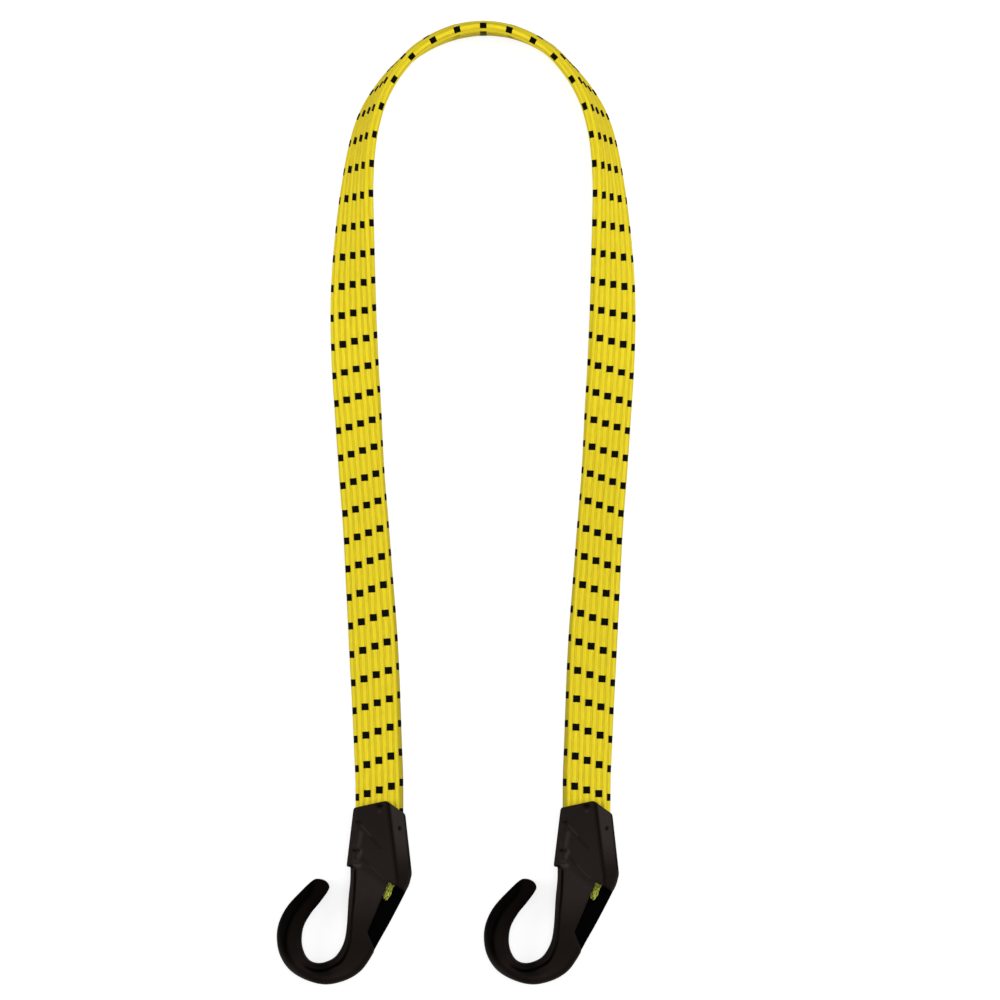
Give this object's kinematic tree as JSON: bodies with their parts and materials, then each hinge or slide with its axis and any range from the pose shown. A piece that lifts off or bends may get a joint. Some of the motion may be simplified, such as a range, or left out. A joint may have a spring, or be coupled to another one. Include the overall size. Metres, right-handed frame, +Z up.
{
  "type": "bungee cord",
  "caption": "Flat elastic bungee cord in a ribbed woven sleeve, lying folded in a U, with a moulded plastic J hook crimped on each end for holding a load down.",
  "frame": {"origin": "on the surface that the cord lies on, under the middle of the pair of hooks", "axes": "+X from the left hook to the right hook, +Y from the hooks to the bend, +Z up from the surface"},
  "size_m": [0.1401, 0.3757, 0.0186],
  "materials": {
    "sleeve": "woven polyester, yellow with black tracer squares",
    "strand": "natural latex",
    "hook": "satin black nylon",
    "crimp": "plated steel"
  },
  "bodies": {
    "bend": {"sleeve_bend": "sleeve", "strand_bend_1": "strand", "strand_bend_2": "strand", "strand_bend_3": "strand", "strand_bend_4": "strand"},
    "left_leg": {"sleeve_left": "sleeve", "strand_left_1": "strand", "strand_left_2": "strand", "strand_left_3": "strand", "strand_left_4": "strand"},
    "right_leg": {"sleeve_right": "sleeve", "strand_right_1": "strand", "strand_right_2": "strand", "strand_right_3": "strand", "strand_right_4": "strand"},
    "left_hook": {"hook_left": "hook", "crimp_left": "crimp", "band_end_left": "sleeve"},
    "right_hook": {"hook_right": "hook", "crimp_right": "crimp", "band_end_right": "sleeve"}
  },
  "joints": [
    {"name": "left_stretch", "type": "slide", "parent": "bend", "child": "left_leg", "axis": [0, -1, 0], "range_m": [0, 0.2], "stiffness_N_per_m": 450, "deforming": ["sleeve_left", "strand_left_1", "strand_left_2", "strand_left_3", "strand_left_4"]},
    {"name": "right_stretch", "type": "slide", "parent": "bend", "child": "right_leg", "axis": [0, -1, 0], "range_m": [0, 0.2], "stiffness_N_per_m": 450, "deforming": ["sleeve_right", "strand_right_1", "strand_right_2", "strand_right_3", "strand_right_4"]},
    {"name": "left_tilt", "type": "hinge", "parent": "left_leg", "child": "left_hook", "pos_m": [-0.02678, 0.04572, 0.0055], "axis": [-1, 0, 0], "range_deg": [0, 75], "stiffness_Nm_per_rad": 0.05, "deforming": ["sleeve_left", "strand_left_1", "strand_left_2", "strand_left_3", "strand_left_4"]},
    {"name": "right_tilt", "type": "hinge", "parent": "right_leg", "child": "right_hook", "pos_m": [0.05422, 0.04572, 0.0055], "axis": [-1, 0, 0], "range_deg": [0, 75], "stiffness_Nm_per_rad": 0.05, "deforming": ["sleeve_right", "strand_right_1", "strand_right_2", "strand_right_3", "strand_right_4"]}
  ]
}
